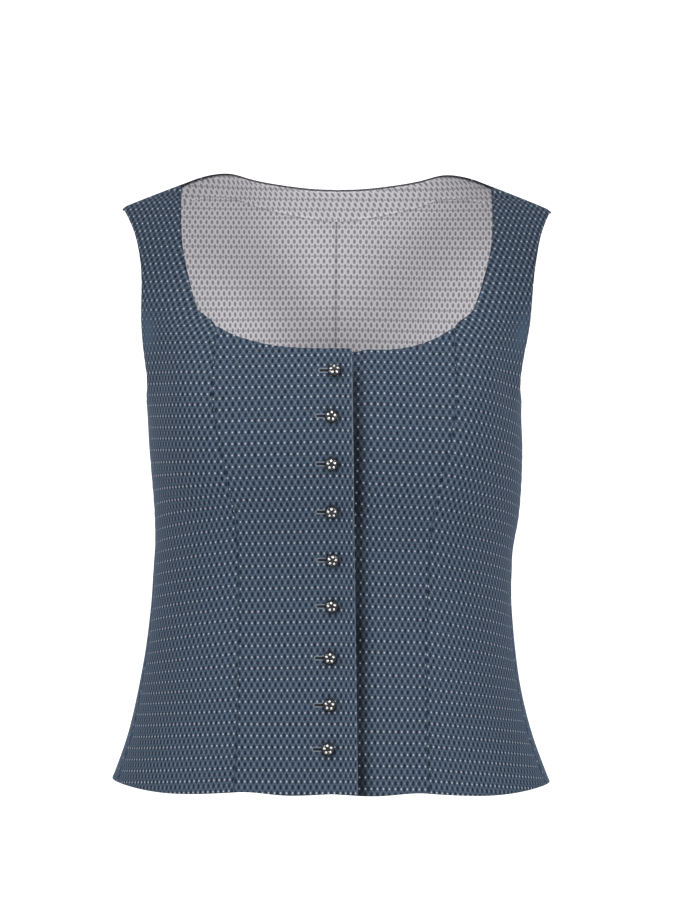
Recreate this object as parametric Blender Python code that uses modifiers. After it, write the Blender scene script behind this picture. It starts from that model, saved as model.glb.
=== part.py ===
# Dirndl bodice, worn shape, hollow. Metres, +Z up, front faces -Y.
# The origin lies midway between the neck ends of the shoulder seams.
#
# A place on the cloth is given by two numbers.
# turn: how far round the body. 0 is the centre front, 1 the princess seam, 2 the widest
# line of the side, 4 the centre back. It is negative on the wearer's right side.
# level: nominal height. It is the true height up to the bust line. Above that it runs
# from the bust line to 0 at the shoulder ridge, whatever the height of the ridge there.

import math

import bmesh
import bpy
import numpy as np
from mathutils import Vector

MM = 0.001

# Cloth
WALL = 1.6 * MM
FACING_WALL = 1.0 * MM
SEAM_GAP = 0.3 * MM
LAYER_GAP = 0.3 * MM

# Level sections of the body, in millimetres
BUST_LEVEL = -192.0
SECTION_COLUMNS = ("level", "half_width", "seam", "side", "front", "back", "squareness", "lean")
SECTIONS = (
    (-560, 206.0, 85.0, -20, -137, 120, 2.2, -0.8),
    (-524, 193.0, 83.5, -20, -133, 116, 2.2, -0.8),
    (-482, 178.2, 81.5, -20, -129, 110, 2.25, -1.8),
    (-440, 168.0, 80.3, -20, -126, 102, 2.3, -2.5),
    (-395, 161.2, 79.8, -21, -123, 92, 2.4, -2.0),
    (-350, 157.6, 80.8, -23, -123, 84, 2.45, -1.5),
    (-318, 157.2, 82.0, -27, -127, 83, 2.5, 0.2),
    (-290, 159.6, 84.5, -32, -134, 85, 2.6, 2.3),
    (-262, 161.7, 89.8, -38, -142, 88, 2.75, 2.3),
    (-232, 163.0, 97.0, -44, -146, 92, 2.9, 1.3),
    (-192, 163.7, 103.5, -46, -143, 96, 3.0, -0.6),
    (-150, 168.5, 103.0, -46, -142, 96, 3.0, -1.0),
    (-110, 175.5, 102.0, -46, -142, 96, 3.0, 0.6),
    (-60, 189.0, 102.0, -46, -142, 96, 3.0, 2.4),
    (0, 206.0, 102.0, -46, -142, 96, 3.0, 0.5),
)
LEAN_STARTS = 0.9         # turn past which the sides stand out of true, in front
LEAN_ENDS = 3.8           # and behind
FRONT_BOW = 3.5           # how far the flat front falls back at the princess seam
FRONT_SIDE_POWER = 1.7    # roundness of the front from the princess seam to the side
FRONT_LEAN_POWER = 1.3    # roundness of the chest up to the ridge
BACK_LEAN_POWER = 1.9     # roundness of the back up to the ridge
BLADE_FULLNESS = 8.0      # extra depth over the shoulder blades
BLADE_STARTS = 2.3        # turn where that fullness starts
BLADE_SPREAD = 0.8        # turns over which it grows
CHEST_ENDS = 1.7          # turn where the curve of the chest starts to change to that of the back
CHANGE_SPREAD = 0.6       # turns over which it changes
CENTRE_BACK = 4           # turn of the centre back

# Shoulder ridge, from the centre out to the shoulder tip, in millimetres
RIDGE_COLUMNS = ("out", "height", "behind")
RIDGE = (
    (0, 22.0, 46),
    (60, 20.0, 36),
    (100, 14.5, 18),
    (118, 8.6, 7),
    (137, 1.0, 0),
    (165, -9.7, 0),
    (190, -19.5, 0),
    (206, -26.0, 0),
)
RIDGE_ROUNDING = 4.0      # how much higher the ridge would be if it were sharp
RIDGE_PITCH = 0.75        # fall of the cloth for each millimetre away from the ridge

# Hem, from the centre front round to the centre back
HEM_COLUMNS = ("turn", "level")
HEM = (
    (0, -525.4),
    (0.45, -527.0),
    (0.9, -524.4),
    (1.4, -527.6),
    (1.8, -523.4),
    (2.1, -521.6),
    (3.0, -522.4),
    (4.0, -523.4),
)

# Edges, in millimetres: distance from the centre, and height
EDGE_COLUMNS = ("out", "height")
FRONT_NECKLINE = (
    (0, -146.0),
    (24, -145.8),
    (48, -144.3),
    (68, -140.6),
    (88, -134.4),
    (102, -127.5),
)
FRONT_NECK_SIDE = (
    (102, -127.5),
    (110.5, -121.5),
    (117.8, -113.0),
    (123.8, -99.2),
    (130.0, -77.7),
    (134.8, -56.0),
    (136.6, -34.0),
    (137.0, 0.0),
)
BACK_NECKLINE = (
    (0, 0.0),
    (35, 1.5),
    (70, 6.0),
    (100, 11.5),
    (118, 7.5),
    (137, 0.0),
)
FRONT_ARMHOLE = (
    (163.5, -186.5),
    (162.9, -175.0),
    (165.8, -154.0),
    (168.9, -136.0),
    (170.6, -120.0),
    (171.2, -101.5),
    (172.0, -83.5),
    (174.2, -66.0),
    (179.3, -44.0),
    (190.0, -19.5),
)
BACK_ARMHOLE = (
    (163.0, -186.5),
    (159.6, -172.0),
    (160.0, -150.0),
    (162.5, -120.0),
    (166.5, -95.0),
    (172.5, -68.0),
    (180.0, -43.0),
    (190.0, -19.5),
)
BACK_SEAM_MEETS_ARMHOLE = 0.57      # share of the way up the back armhole

# Seams below the armholes: where round the body they run at each level
SEAM_COLUMNS = ("level", "side_seam", "back_seam")
SEAMS = (
    (-560, 1.80, 3.30),
    (-524, 1.82, 3.31),
    (-440, 1.86, 3.36),
    (-350, 1.90, 3.38),
    (-262, 1.97, 3.22),
    (-215, 2.02, 2.98),
    (-192, 2.04, 2.86),
)

# Closure: the wearer's right front laps over the left
LAP_EDGE_TOP = 15.0       # out from the middle, at the neckline
LAP_EDGE_HEM = 22.5       # and at the hem
UNDERLAP_EDGE = -20.0     # where the left front ends under the right one
LAP_VALLEY = 13.0         # width over which the left front comes forward again
LAP_CLEARANCE = 1.0       # how far past the edge it starts to do so

# Hollow of the front beside each armhole
HOLLOW_DEPTH = 4.0
HOLLOW_TURN = 1.60
HOLLOW_LEVEL = -158.0
HOLLOW_TURN_SPREAD = 0.13
HOLLOW_LEVEL_SPREAD = 34.0
HOLLOW_INWARD = 0.5       # how much of the hollow goes towards the middle
HOLLOW_BACKWARD = 0.85    # and how much goes back

# Facings, as steps of the grid of the panel that each lies under
BACK_FACING_ROWS = 3
BACK_FACING_STRAP_COLUMNS = 2
STRAP_FACING_ROWS = 7
STRAP_FACING_COLUMNS = 5

# Buttons, in millimetres: sideways place and height of each
BUTTON_COLUMNS = ("out", "height")
BUTTONS = (
    (-0.3, -165.0),
    (-2.6, -203.5),
    (-2.2, -244.3),
    (-1.8, -285.0),
    (-0.9, -326.3),
    (-1.3, -366.0),
    (-2.4, -410.0),
    (-2.6, -450.0),
    (-3.6, -487.5),
)
BUTTON_RADIUS = 5.3 * MM
BUTTON_HEIGHT = 4.2 * MM
BUTTON_RIM = 0.7 * MM
RIM_EDGE_HIGH = 0.8       # the rounded edge of the rim, as shares of its thickness
RIM_EDGE_LOW = 0.2
BUTTON_STEPS = 14
DOME_STEPS = 5
SHANK_RADIUS = 1.0 * MM
BUTTONHOLE_LENGTH = 15.5 * MM
BUTTONHOLE_WIDTH = 2.8 * MM
BUTTONHOLE_PAST_SHANK = 1.6 * MM
CUTTER_DEPTH = 12.0 * MM

# Grid of each wall
ROWS_TO_BUST = 18
ROWS_TO_NECKLINE = 4
ROWS_STRAP = 12
COLUMNS_UPPER = 9
COLUMNS_LAPPED = 3
COLUMNS_VALLEY = 3
COLUMNS_UNDER_REST = 4
COLUMNS_SIDE = 11
COLUMNS_BACK_SIDE = 8
COLUMNS_BACK_NECK = 6
COLUMNS_BACK_STRAP = 4
ROWS_BACK_ARMHOLE = 12
RIDGE_CROWDING = 1.5
MIDDLE_CROWDING = 1.25

ARMHOLE_STEPS = 40        # steps used to find where the back seam meets the armhole
LINE_STEPS = 12           # steps between two places, where a line of them is measured
ON_SEAM_TURN = 0.9        # a row of a centre front that ends past this ends on the princess seam
SHARP_ANGLE = 50          # degrees

# Step used to find which way the cloth faces, in turns and millimetres
TURN_STEP = 0.004
LEVEL_STEP = 0.8

COLOURS = {
    "cloth": ((0.085, 0.115, 0.155, 1.0), 0.62, 0.0),
    "facing": ((0.42, 0.41, 0.43, 1.0), 0.8, 0.0),
    "metal": ((0.12, 0.12, 0.125, 1.0), 0.22, 1.0),
}


def column(table, names, name):
    place = names.index(name)
    return np.array([row[place] for row in table], dtype=float)


def smooth_line(knots, values):
    """Smooth curve through a table's column, as a function."""
    slopes = np.gradient(values, knots)

    def value(at):
        at = min(max(at, knots[0]), knots[-1])
        i = min(max(int(np.searchsorted(knots, at)) - 1, 0), len(knots) - 2)
        span = knots[i + 1] - knots[i]
        t = (at - knots[i]) / span
        rise = values[i] * (1 + 2 * t) * (1 - t) ** 2 + values[i + 1] * t * t * (3 - 2 * t)
        return rise + span * (slopes[i] * t * (1 - t) ** 2 - slopes[i + 1] * t * t * (1 - t))

    return value


SECTION = {
    name: smooth_line(column(SECTIONS, SECTION_COLUMNS, "level"), column(SECTIONS, SECTION_COLUMNS, name))
    for name in SECTION_COLUMNS[1:]
}
RIDGE_LINE = {
    name: smooth_line(column(RIDGE, RIDGE_COLUMNS, "out"), column(RIDGE, RIDGE_COLUMNS, name))
    for name in RIDGE_COLUMNS[1:]
}
HEM_LINE = smooth_line(column(HEM, HEM_COLUMNS, "turn"), column(HEM, HEM_COLUMNS, "level"))
SEAM_TURN = {
    name: smooth_line(column(SEAMS, SEAM_COLUMNS, "level"), column(SEAMS, SEAM_COLUMNS, name))
    for name in SEAM_COLUMNS[1:]
}


def ease(t):
    t = min(max(t, 0.0), 1.0)
    return t * t * (3 - 2 * t)


def ring_point(turn, level):
    """Place on the level section: distance out, and depth, in millimetres."""
    half = SECTION["half_width"](level)
    seam = SECTION["seam"](level)
    side = SECTION["side"](level)
    front = SECTION["front"](level)
    if turn <= 1:
        return seam * turn, front + FRONT_BOW * turn * turn
    if turn <= 2:
        angle = (turn - 1) * math.pi / 2
        out = seam + (half - seam) * math.sin(angle) ** (2 / FRONT_SIDE_POWER)
        fall = max(math.cos(angle), 0.0) ** (2 / FRONT_SIDE_POWER)
        return out, side + (front + FRONT_BOW - side) * fall
    power = 2 / SECTION["squareness"](level)
    angle = (turn - 2) * math.pi / 4
    out = half * max(math.cos(angle), 0.0) ** power
    return out, side + (SECTION["back"](level) - side) * math.sin(angle) ** power


def body_point(turn, level):
    """Point on the outside of the cloth, in millimetres."""
    wearer_side = -1.0 if turn < 0 else 1.0
    turn = abs(turn)
    if turn > CENTRE_BACK:
        wearer_side = -wearer_side
        turn = 2 * CENTRE_BACK - turn
    out, depth = ring_point(turn, level)
    height = level
    if level > BUST_LEVEL:
        rise = min((level - BUST_LEVEL) / -BUST_LEVEL, 1.0)
        backness = ease((turn - CHEST_ENDS) / CHANGE_SPREAD)
        power = FRONT_LEAN_POWER + (BACK_LEAN_POWER - FRONT_LEAN_POWER) * backness
        ridge_depth = RIDGE_LINE["behind"](out)
        fall = (1 - rise ** power) ** (1 / power)
        blade = BLADE_FULLNESS * math.sin(math.pi * rise) * ease((turn - BLADE_STARTS) / BLADE_SPREAD)
        depth = ridge_depth + (depth - ridge_depth) * fall + blade
        ridge_height = RIDGE_LINE["height"](out) + RIDGE_ROUNDING
        slope = RIDGE_PITCH * abs(depth - ridge_depth)
        rounding = math.sqrt(slope * slope + RIDGE_ROUNDING ** 2) - slope
        height = BUST_LEVEL + rise * (ridge_height - BUST_LEVEL) - rounding * rise
    lean = SECTION["lean"](level) * ease(turn - LEAN_STARTS) * ease(LEAN_ENDS - turn)
    hollow = HOLLOW_DEPTH * math.exp(
        -((turn - HOLLOW_TURN) / HOLLOW_TURN_SPREAD) ** 2
        - ((level - HOLLOW_LEVEL) / HOLLOW_LEVEL_SPREAD) ** 2
    )
    across = wearer_side * (out - HOLLOW_INWARD * hollow) + lean
    return Vector((across, depth + HOLLOW_BACKWARD * hollow, height))


def outward(turn, level):
    """Direction the outside of the cloth faces."""
    on_ridge = level > -1e-6
    below = level - LEVEL_STEP
    above = level if on_ridge else min(level + LEVEL_STEP, 0.0)
    along = body_point(turn + TURN_STEP, level) - body_point(turn - TURN_STEP, level)
    up = body_point(turn, above) - body_point(turn, below)
    facing = along.cross(up)
    if on_ridge:
        facing.y = 0.0
    return facing.normalized()


def level_at(out, height):
    """Level of a point above the bust line, from its distance out and its height."""
    ridge_height = RIDGE_LINE["height"](out)
    rise = (height - BUST_LEVEL) / (ridge_height - BUST_LEVEL)
    return BUST_LEVEL * (1 - min(rise, 1.0))


def turn_at(out, level, behind=False):
    """Where round the body a distance out is reached, in front or behind."""
    half = SECTION["half_width"](level)
    seam = SECTION["seam"](level)
    if behind:
        power = SECTION["squareness"](level) / 2
        return 2 + math.acos(min(out / half, 1.0) ** power) * 4 / math.pi
    if out <= seam:
        return out / seam
    share = min((out - seam) / (half - seam), 1.0)
    return 1 + math.asin(share ** (FRONT_SIDE_POWER / 2)) * 2 / math.pi


def edge_places(table, behind=False):
    """An edge table as places on the cloth."""
    places = []
    for out, height in table:
        level = level_at(out, height)
        places.append((turn_at(out, level, behind), level))
    return places


def spaced(places, count, crowding=1.0):
    """Places at steps along a line of places, measured on the body, closer at its end if crowded."""
    turns = np.array([place[0] for place in places])
    levels = np.array([place[1] for place in places])
    knots = np.arange(len(places), dtype=float)
    turn_line = smooth_line(knots, turns)
    level_line = smooth_line(knots, levels)
    fine = np.linspace(0, knots[-1], LINE_STEPS * len(places))
    points = [body_point(turn_line(at), min(level_line(at), 0.0)) for at in fine]
    steps = [(b - a).length for a, b in zip(points, points[1:])]
    reached = np.concatenate(([0.0], np.cumsum(steps)))
    wanted = reached[-1] * (1 - np.linspace(1, 0, count + 1) ** crowding)
    found = np.interp(wanted, reached, fine)
    return [(turn_line(at), min(level_line(at), 0.0)) for at in found]


def hem_level(turn):
    return HEM_LINE(min(abs(turn), 2 * CENTRE_BACK - abs(turn)))


def hem_places(first, last, count):
    """The hem between two places on it."""
    return [(turn, hem_level(turn)) for turn, _ in straight(first, last, count)]


def hem_to_bust(line):
    """A seam from the hem to the bust line."""
    start = hem_level(line(HEM[0][1]))
    levels = np.linspace(start, BUST_LEVEL, ROWS_TO_BUST + 1)
    return [(line(level), float(level)) for level in levels]


def patch(bottom, top, left, right):
    """Rows of places that fill the space between four edges."""
    columns = len(bottom) - 1
    rows = len(left) - 1
    grid = []
    for k in range(rows + 1):
        t = k / rows
        row = []
        for j in range(columns + 1):
            s = j / columns
            place = []
            for axis in range(2):
                across = (1 - s) * left[k][axis] + s * right[k][axis]
                upward = (1 - t) * bottom[j][axis] + t * top[j][axis]
                corners = (1 - t) * ((1 - s) * left[0][axis] + s * right[0][axis])
                corners += t * ((1 - s) * left[-1][axis] + s * right[-1][axis])
                place.append(across + upward - corners)
            row.append((place[0], min(place[1], 0.0)))
        grid.append(row)
    return grid


def straight(first, last, count):
    """Places on a straight line between two places."""
    shares = np.linspace(0, 1, count + 1)
    return [
        (first[0] + (last[0] - first[0]) * share, first[1] + (last[1] - first[1]) * share)
        for share in shares
    ]


def new_material(name):
    colour, roughness, metallic = COLOURS[name]
    material = bpy.data.materials.new(name)
    material.use_nodes = True
    shader = material.node_tree.nodes["Principled BSDF"]
    shader.inputs["Base Color"].default_value = colour
    shader.inputs["Roughness"].default_value = roughness
    shader.inputs["Metallic"].default_value = metallic
    return material


def new_object(name, mesh, collection, material=None):
    thing = bpy.data.objects.new(name, mesh)
    collection.objects.link(thing)
    if material is not None:
        mesh.materials.append(material)
    return thing


def narrowed(points):
    """Draw every row in by half a seam gap at both ends."""
    half_gap = SEAM_GAP / MM / 2
    for row in points:
        for end, beside in ((0, 1), (-1, -2)):
            inward = (row[beside] - row[end]).normalized()
            row[end] = row[end] + inward * half_gap
    return points


def wall(name, grid, collection, material, thickness=WALL, sunk=0.0, sink=None, trim_top=None):
    """Closed wall of cloth whose outside runs through a grid of places."""
    outside = []
    inside = []
    for row in grid:
        outer_row = []
        inner_row = []
        for turn, level in row:
            point = body_point(turn, level)
            facing = outward(turn, level)
            depth = sunk / MM
            if sink is not None:
                depth += sink(point)
            outer_row.append(point - facing * depth)
            inner_row.append(point - facing * (depth + thickness / MM))
        outside.append(outer_row)
        inside.append(inner_row)
    if trim_top is not None:
        for rows in (outside, inside):
            for j in trim_top:
                rows[-1][j] = rows[-1][j] + (rows[-2][j] - rows[-1][j]).normalized() * (SEAM_GAP / MM / 2)
    narrowed(outside)
    narrowed(inside)
    mesh = bpy.data.meshes.new(name)
    form = bmesh.new()
    outer = [[form.verts.new(point * MM) for point in row] for row in outside]
    inner = [[form.verts.new(point * MM) for point in row] for row in inside]
    rows = len(grid)
    columns = len(grid[0])
    for k in range(rows - 1):
        for j in range(columns - 1):
            form.faces.new((outer[k][j], outer[k][j + 1], outer[k + 1][j + 1], outer[k + 1][j]))
            form.faces.new((inner[k][j], inner[k + 1][j], inner[k + 1][j + 1], inner[k][j + 1]))
    rim = [(0, j) for j in range(columns)]
    rim += [(k, columns - 1) for k in range(1, rows)]
    rim += [(rows - 1, j) for j in range(columns - 2, -1, -1)]
    rim += [(k, 0) for k in range(rows - 2, 0, -1)]
    for (k, j), (k_next, j_next) in zip(rim, rim[1:] + rim[:1]):
        form.faces.new((outer[k][j], inner[k][j], inner[k_next][j_next], outer[k_next][j_next]))
    bmesh.ops.recalc_face_normals(form, faces=form.faces)
    form.to_mesh(mesh)
    form.free()
    mesh.shade_smooth()
    mesh.set_sharp_from_angle(angle=math.radians(SHARP_ANGLE))
    return new_object(name, mesh, collection, material)


def mirrored(grid):
    """The same grid on the wearer's right side, with its columns the other way."""
    return [[(-turn, level) for turn, level in reversed(row)] for row in grid]


def lap_edge(height):
    """Where the edge of the upper front runs."""
    top = FRONT_NECKLINE[0][1]
    share = (top - height) / (top - HEM[0][1])
    return LAP_EDGE_TOP + (LAP_EDGE_HEM - LAP_EDGE_TOP) * share


def underlap_sink(point):
    """The left front lies under the right one, and comes forward again beside its edge."""
    beyond = (point.x - lap_edge(point.z) - LAP_CLEARANCE) / LAP_VALLEY
    return (WALL + LAYER_GAP) / MM * (1 - ease(beyond))


def princess_rows():
    """The princess seam from the hem up to the neckline."""
    low = straight((1.0, hem_level(1.0)), (1.0, BUST_LEVEL), ROWS_TO_BUST)
    top = level_at(*FRONT_NECKLINE[-1])
    high = straight((1.0, BUST_LEVEL), (1.0, top), ROWS_TO_NECKLINE)
    return low + high[1:]


def upper_front_outs(seam_out, edge):
    """Columns of the upper front: wearer's right princess seam to its closing edge."""
    return np.linspace(-seam_out, edge, COLUMNS_UPPER + 1)


def under_front_outs(seam_out, edge):
    """Columns of the under front: from under the lap, past the valley, to its princess seam."""
    start = edge + LAP_CLEARANCE
    lapped = np.linspace(UNDERLAP_EDGE, start, COLUMNS_LAPPED + 1)
    valley = np.linspace(start, start + LAP_VALLEY, COLUMNS_VALLEY + 1)
    rest = np.linspace(start + LAP_VALLEY, seam_out, COLUMNS_UNDER_REST + 1)
    return np.concatenate((lapped, valley[1:], rest[1:]))


def centre_front(name, outs_of_row, collection, material, sink=None):
    """One centre front, between its closing edge and the princess seam."""
    neckline = smooth_line(
        column(FRONT_NECKLINE, EDGE_COLUMNS, "out"),
        column(FRONT_NECKLINE, EDGE_COLUMNS, "height"),
    )
    seam = princess_rows()
    seam_hem = seam[0][1]
    seam_top = seam[-1][1]
    grid = []
    for _, seam_level in seam:
        share = (seam_level - seam_hem) / (seam_top - seam_hem)
        row = []
        for out in outs_of_row(SECTION["seam"](seam_level), lap_edge(seam_level)):
            top = level_at(abs(out), neckline(abs(out)))
            hem = hem_level(out / SECTION["seam"](seam_hem))
            level = hem + (top - hem) * share
            turn = out / SECTION["seam"](level)
            row.append((turn, level))
        for place in (0, -1):
            turn, level = row[place]
            if abs(turn) > ON_SEAM_TURN:
                row[place] = (math.copysign(1.0, turn), level)
        grid.append(row)
    return wall(name, grid, collection, material, sink=sink)


def side_front_grid():
    """Side front and its strap, wearer's left."""
    seam = princess_rows()
    neck_line = edge_places(FRONT_NECK_SIDE)
    neck_line[-1] = (neck_line[-1][0], 0.0)
    neck_side = spaced(neck_line, ROWS_STRAP, RIDGE_CROWDING)
    left = seam + neck_side[1:]
    side = hem_to_bust(SEAM_TURN["side_seam"])
    armhole_line = [(SEAM_TURN["side_seam"](BUST_LEVEL), BUST_LEVEL)] + edge_places(FRONT_ARMHOLE)
    armhole_line[-1] = (armhole_line[-1][0], 0.0)
    armhole = spaced(armhole_line, ROWS_TO_NECKLINE + ROWS_STRAP, RIDGE_CROWDING)
    right = side + armhole[1:]
    bottom = hem_places(left[0], right[0], COLUMNS_SIDE)
    top = straight(left[-1], right[-1], COLUMNS_SIDE)
    return patch(bottom, top, left, right)


def back_armhole():
    """The back armhole in two stretches, below and above the end of the back seam."""
    start = (SEAM_TURN["side_seam"](BUST_LEVEL), BUST_LEVEL)
    line = [start] + edge_places(BACK_ARMHOLE, behind=True)
    line[-1] = (line[-1][0], 0.0)
    full = spaced(line, ARMHOLE_STEPS)
    meets = round(ARMHOLE_STEPS * BACK_SEAM_MEETS_ARMHOLE)
    low = spaced(full[:meets + 1], COLUMNS_BACK_SIDE)
    high = spaced(full[meets:], ROWS_BACK_ARMHOLE, RIDGE_CROWDING)
    return low, high


def back_seam_line():
    """The back seam from the hem up to where it meets the armhole."""
    low = back_armhole()[0]
    levels = column(SEAMS, SEAM_COLUMNS, "level")
    turns = column(SEAMS, SEAM_COLUMNS, "back_seam")
    hem_turn = SEAM_TURN["back_seam"](HEM[0][1])
    places = [(hem_turn, hem_level(hem_turn))]
    places += [(turn, level) for turn, level in zip(turns, levels) if level > places[0][1]]
    places.append(low[-1])
    return spaced(places, ROWS_TO_BUST)


def side_back_grid():
    """Side back, wearer's left."""
    low = back_armhole()[0]
    left = hem_to_bust(SEAM_TURN["side_seam"])
    right = back_seam_line()
    bottom = hem_places(left[0], right[0], COLUMNS_BACK_SIDE)
    return patch(bottom, low, left, right)


def centre_back_grid():
    """Centre back and its strap, wearer's left, from the back seam to the middle."""
    high = back_armhole()[1]
    left = back_seam_line() + high[1:]
    neck = spaced(edge_places(reversed(BACK_NECKLINE), behind=True), COLUMNS_BACK_NECK)
    neck[0] = (neck[0][0], 0.0)
    shoulder = straight(left[-1], neck[0], COLUMNS_BACK_STRAP)
    top = shoulder + neck[1:]
    middle = [(CENTRE_BACK, hem_level(CENTRE_BACK)), neck[-1]]
    right = spaced(middle, len(left) - 1, MIDDLE_CROWDING)
    bottom = hem_places(left[0], right[0], len(top) - 1)
    return patch(bottom, top, left, right)


def button_place(out, height):
    """Point on the cloth and the way it faces, for a button on the upper front."""
    level = height if height < BUST_LEVEL else level_at(abs(out), height)
    turn = out / SECTION["seam"](level)
    return body_point(turn, level) * MM, outward(turn, level)


def button(name, out, height, collection, material):
    """Domed shank button, turned about its own axis."""
    profile = [(0.0, BUTTON_HEIGHT)]
    dome_radius = BUTTON_RADIUS - BUTTON_RIM
    for step in range(1, DOME_STEPS + 1):
        angle = step / DOME_STEPS * math.pi / 2
        rise = BUTTON_RIM + (BUTTON_HEIGHT - BUTTON_RIM) * math.cos(angle)
        profile.append((dome_radius * math.sin(angle), rise))
    profile += [
        (BUTTON_RADIUS, BUTTON_RIM * RIM_EDGE_HIGH),
        (BUTTON_RADIUS, BUTTON_RIM * RIM_EDGE_LOW),
        (BUTTON_RADIUS - BUTTON_RIM, 0.0),
        (SHANK_RADIUS, 0.0),
        (SHANK_RADIUS, -WALL - LAYER_GAP),
        (0.0, -WALL - LAYER_GAP),
    ]
    form = bmesh.new()
    line = [form.verts.new((x, 0.0, z)) for x, z in profile]
    for first, second in zip(line, line[1:]):
        form.edges.new((first, second))
    mesh = bpy.data.meshes.new(name)
    form.to_mesh(mesh)
    form.free()
    thing = new_object(name, mesh, collection, material)
    turned = thing.modifiers.new("turned", "SCREW")
    turned.steps = BUTTON_STEPS
    turned.render_steps = BUTTON_STEPS
    turned.use_merge_vertices = True
    turned.merge_threshold = 0.0001
    turned.use_smooth_shade = True
    point, facing = button_place(out, height)
    thing.location = point + facing * LAYER_GAP
    thing.rotation_euler = facing.to_track_quat("Z", "Y").to_euler()
    return thing


def buttonhole_cutter(number, out, height, collection):
    """Block that cuts a buttonhole through the upper front."""
    point, facing = button_place(out, height)
    bpy.ops.mesh.primitive_cube_add(size=1)
    cutter = bpy.context.active_object
    cutter.name = "buttonhole_cutter_%d" % number
    for owner in cutter.users_collection:
        owner.objects.unlink(cutter)
    collection.objects.link(cutter)
    cutter.dimensions = (BUTTONHOLE_LENGTH, CUTTER_DEPTH, BUTTONHOLE_WIDTH)
    shift = BUTTONHOLE_LENGTH / 2 - BUTTONHOLE_PAST_SHANK
    cutter.location = point - Vector((shift, 0, 0))
    cutter.rotation_euler = (-facing).to_track_quat("Y", "Z").to_euler()
    cutter.hide_render = True
    cutter.display_type = "WIRE"
    return cutter


def main():
    for thing in list(bpy.data.objects):
        bpy.data.objects.remove(thing)
    parts = bpy.data.collections.new("dirndl_bodice")
    cutters = bpy.data.collections.new("cutters")
    bpy.context.scene.collection.children.link(parts)
    bpy.context.scene.collection.children.link(cutters)
    cloth = new_material("cloth")
    facing = new_material("facing")
    metal = new_material("metal")

    upper = centre_front("front_centre_right", upper_front_outs, parts, cloth)
    centre_front("front_centre_left", under_front_outs, parts, cloth, underlap_sink)

    side_front = side_front_grid()
    shoulder = range(COLUMNS_SIDE + 1)
    wall("front_side_left", side_front, parts, cloth, trim_top=shoulder)
    wall("front_side_right", mirrored(side_front), parts, cloth, trim_top=shoulder)

    side_back = side_back_grid()
    wall("back_side_left", side_back, parts, cloth)
    wall("back_side_right", mirrored(side_back), parts, cloth)

    centre_back = centre_back_grid()
    strap = range(COLUMNS_BACK_STRAP + 1)
    wall("back_centre_left", centre_back, parts, cloth, trim_top=strap)
    last = len(centre_back[0]) - 1
    strap = range(last - COLUMNS_BACK_STRAP, last + 1)
    wall("back_centre_right", mirrored(centre_back), parts, cloth, trim_top=strap)

    under_cloth = WALL + LAYER_GAP
    half_band = [row[BACK_FACING_STRAP_COLUMNS:] for row in centre_back[-BACK_FACING_ROWS - 1:]]
    back_band = [
        row + [(2 * CENTRE_BACK - turn, level) for turn, level in reversed(row[:-1])]
        for row in half_band
    ]
    last = len(back_band[0]) - 1
    on_straps = COLUMNS_BACK_STRAP - BACK_FACING_STRAP_COLUMNS
    ends = [*range(on_straps + 1), *range(last - on_straps, last + 1)]
    wall("back_neck_facing", back_band, parts, facing, FACING_WALL, under_cloth, trim_top=ends)
    strap_band = [row[:STRAP_FACING_COLUMNS + 1] for row in side_front[-STRAP_FACING_ROWS - 1:]]
    ends = range(STRAP_FACING_COLUMNS + 1)
    wall("strap_facing_left", strap_band, parts, facing, FACING_WALL, under_cloth, trim_top=ends)
    band = mirrored(strap_band)
    wall("strap_facing_right", band, parts, facing, FACING_WALL, under_cloth, trim_top=ends)

    outs = column(BUTTONS, BUTTON_COLUMNS, "out")
    heights = column(BUTTONS, BUTTON_COLUMNS, "height")
    for number, (out, height) in enumerate(zip(outs, heights), start=1):
        button("button_%d" % number, out, height, parts, metal)
        cutter = buttonhole_cutter(number, out, height, cutters)
        cut = upper.modifiers.new("buttonhole_%d" % number, "BOOLEAN")
        cut.operation = "DIFFERENCE"
        cut.solver = "EXACT"
        cut.object = cutter


main()
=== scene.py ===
import math

import bpy
import numpy as np
from mathutils import Matrix, Vector


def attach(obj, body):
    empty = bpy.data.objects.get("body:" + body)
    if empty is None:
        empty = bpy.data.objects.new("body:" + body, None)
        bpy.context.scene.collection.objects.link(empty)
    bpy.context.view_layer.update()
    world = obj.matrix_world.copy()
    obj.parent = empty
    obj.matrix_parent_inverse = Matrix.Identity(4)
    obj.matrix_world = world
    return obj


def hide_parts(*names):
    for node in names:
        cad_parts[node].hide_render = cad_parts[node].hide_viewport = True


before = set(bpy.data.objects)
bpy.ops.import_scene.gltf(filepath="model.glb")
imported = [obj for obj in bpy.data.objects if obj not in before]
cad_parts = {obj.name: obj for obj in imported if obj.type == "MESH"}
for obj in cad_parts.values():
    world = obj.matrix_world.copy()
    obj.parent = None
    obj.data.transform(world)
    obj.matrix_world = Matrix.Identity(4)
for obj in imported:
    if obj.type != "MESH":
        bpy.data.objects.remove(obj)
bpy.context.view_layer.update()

print("frame loaded")

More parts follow.
